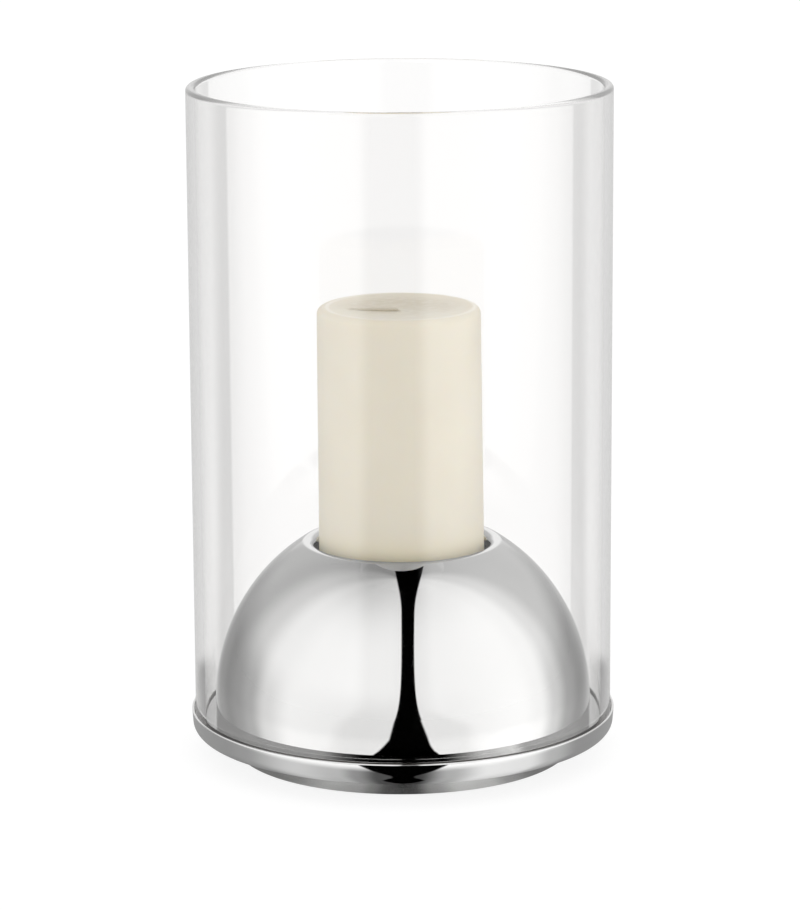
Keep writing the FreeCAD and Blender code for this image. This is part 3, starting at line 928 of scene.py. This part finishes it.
def candle_outline(foot, top, dish_half):
    """Spots (radius, height) from the middle of the foot, up the side and in over the dished top."""
    round_foot, round_top = CANDLE_FOOT_ROUND, CANDLE_TOP_ROUND
    spots = [(CANDLE_FOOT_R * i / FOOT_RINGS * FOOT_FLAT, foot) for i in range(FOOT_RINGS)]
    foot_arc = arc(CANDLE_FOOT_R - round_foot, foot + round_foot, round_foot, -90, 0, 15)[0]
    spots += [spot for spot, _ in foot_arc]
    bands = int((top - foot - 2 * round_top) / CANDLE_BAND)
    straight = top - foot - round_foot - round_top
    for i in range(1, bands):
        height = round_foot + straight * i / bands
        spots.append((candle_side(height), foot + height))
    top_arc = arc(candle_side(top - foot) - round_top, top - round_top, round_top, 0, 84, 7)[0]
    spots += [spot for spot, _ in top_arc]
    sphere = (dish_half ** 2 + DISH_DEPTH ** 2) / (2 * DISH_DEPTH)
    for i in range(DISH_RINGS):
        r = dish_half * (1 - i / DISH_RINGS)
        spots.append((r, top - DISH_DEPTH + sphere - math.sqrt(sphere ** 2 - r * r) - DISH_SINK))
    return spots


def make_candle(wax):
    low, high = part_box("candle_body")
    foot, top = low.z / MM, high.z / MM
    wick_low, wick_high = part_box("candle_wick")
    wick_z, tail = wick_high.z / MM - WICK_R, wick_low.x / MM
    dish_half = candle_side(top - foot) - DISH_EDGE
    spots = candle_outline(foot, top, dish_half)[1:]

    verts = [(0.0, 0.0, foot * MM)]
    for r, z in spots:
        for k in range(CANDLE_TURNS):
            a = 2 * math.pi * k / CANDLE_TURNS
            # Shallow waves that cooling leaves in the side, and a skin that isn't quite flat on top.
            waves = sum(1 + math.sin(times * a + z / rise + phase) for times, rise, phase in WAVES)
            kept = 1 - WAVE_DEPTH * waves * min(1, (z - foot) / WAVE_FADE) / NOMINAL_R
            x, y, height = r * math.cos(a) * kept, r * math.sin(a) * kept, z
            if height > top - CANDLE_TOP_ROUND:
                height -= RIPPLE * (1 + math.sin(x / RIPPLE_X + RIPPLE_PHASE) * math.sin(y / RIPPLE_Y))
            is_along_wick = tail - BED_BEYOND_TAIL < x < BED_BEYOND_AXIS and r < dish_half + BED_BEYOND_DISH
            if height > top - CANDLE_TOP_ROUND and is_along_wick:
                off_wick = math.hypot(y, max(0.0, tail - x))
                height = min(height, wick_z - BED_DEPTH + BED_RISE * (off_wick / BED_HALF) ** 3)
            verts.append((lean(x, height, foot) * MM, y * MM, height * MM))
    faces = banded(1, len(spots), CANDLE_TURNS)
    for k in range(CANDLE_TURNS):
        faces.append((0, 1 + (k + 1) % CANDLE_TURNS, 1 + k))
    last = len(verts) - CANDLE_TURNS
    verts.append((lean(0, wick_z, foot) * MM, 0.0, (wick_z - BED_DEPTH) * MM))
    for k in range(CANDLE_TURNS):
        faces.append((last + k, last + (k + 1) % CANDLE_TURNS, len(verts) - 1))
    piece = finish_mesh("pillar_candle", verts, faces)
    piece.data.materials.append(wax)
    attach(piece, "candle")
    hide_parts("candle_body")


def wick_line(start, tail, level):
    """Spots (point, direction) in the XZ plane: up the axis, over, and along to the tail."""
    bend_z = level - WICK_BEND
    spots = []
    stem = math.ceil((bend_z - start) / WICK_STEP)
    for i in range(stem):
        spots.append(((0.0, start + (bend_z - start) * i / stem), (0.0, 1.0)))
    for i in range(WICK_BEND_STEPS + 1):
        a = math.radians(90 * i / WICK_BEND_STEPS)
        spot = (WICK_BEND * (math.cos(a) - 1), bend_z + WICK_BEND * math.sin(a))
        spots.append((spot, (-math.sin(a), math.cos(a))))
    length = -WICK_BEND - tail
    runs = math.ceil(length / WICK_STEP)
    for i in range(1, runs + 1):
        spots.append(((-WICK_BEND - length * i / runs, level), (-1.0, 0.0)))
    return spots


def make_wick(cotton):
    """Three strands twisted round the wick's line."""
    low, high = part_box("candle_wick")
    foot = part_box("candle_body")[0].z / MM
    spots = wick_line(low.z / MM, low.x / MM, high.z / MM - WICK_R)

    verts, walked = [], 0.0
    for i, ((x, z), (dx, dz)) in enumerate(spots):
        if i:
            walked += math.dist((x, z), spots[i - 1][0])
        turn = 2 * math.pi * walked / STRAND_PITCH
        for k in range(WICK_SIDES):
            a = 2 * math.pi * k / WICK_SIDES
            lobe = math.sqrt(abs(math.cos(STRANDS / 2 * (a - turn))))
            r = WICK_R * (STRAND_DIP + STRAND_BULGE * lobe) * (1 + WAVER * math.sin(WAVER_RATE * walked))
            across, side_y = r * math.cos(a), r * math.sin(a)
            vx, vz = x + dz * across, z - dx * across
            verts.append((lean(vx, vz, foot) * MM, side_y * MM, vz * MM))
    faces = banded(0, len(spots), WICK_SIDES)
    ends = ((0, spots[0], 1), (len(spots) - 1, spots[-1], -1))
    for i, ((x, z), _), way in ends:
        verts.append((lean(x, z, foot) * MM, 0.0, z * MM))
        for k in range(WICK_SIDES):
            this, following = i * WICK_SIDES + k, i * WICK_SIDES + (k + 1) % WICK_SIDES
            faces.append((len(verts) - 1, *((following, this) if way == 1 else (this, following))))
    piece = finish_mesh("wick", verts, faces)
    piece.data.materials.append(cotton)
    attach(piece, "candle")
    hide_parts("candle_wick")


def finish_cad_nodes(finishes):
    """Give the CAD nodes that stay their materials, by node name."""
    for node, made in finishes.items():
        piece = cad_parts[node]
        for slot in piece.material_slots:
            slot.material = made


place_camera()
light_world()
lay_floor()
make_glass()
make_dome(polished_steel("polished_steel_dome", SKIRT_TOP))
make_tray(polished_steel("polished_steel_tray"))
make_foot(satin_steel())
drawn = drawn_steel()
make_cup(drawn)
make_candle(ivory_wax())
make_wick(waxed_cotton())
zinc = zinc_steel()
finish_cad_nodes({
    "glass_seat_ring": seat_silicone(),
    "tie_stud": zinc,
    "tie_washer": zinc,
    "tie_nut": zinc,
    "base_cover": drawn,
    "base_felt": black_felt(),
    "wick_tab": tinplate(),
})
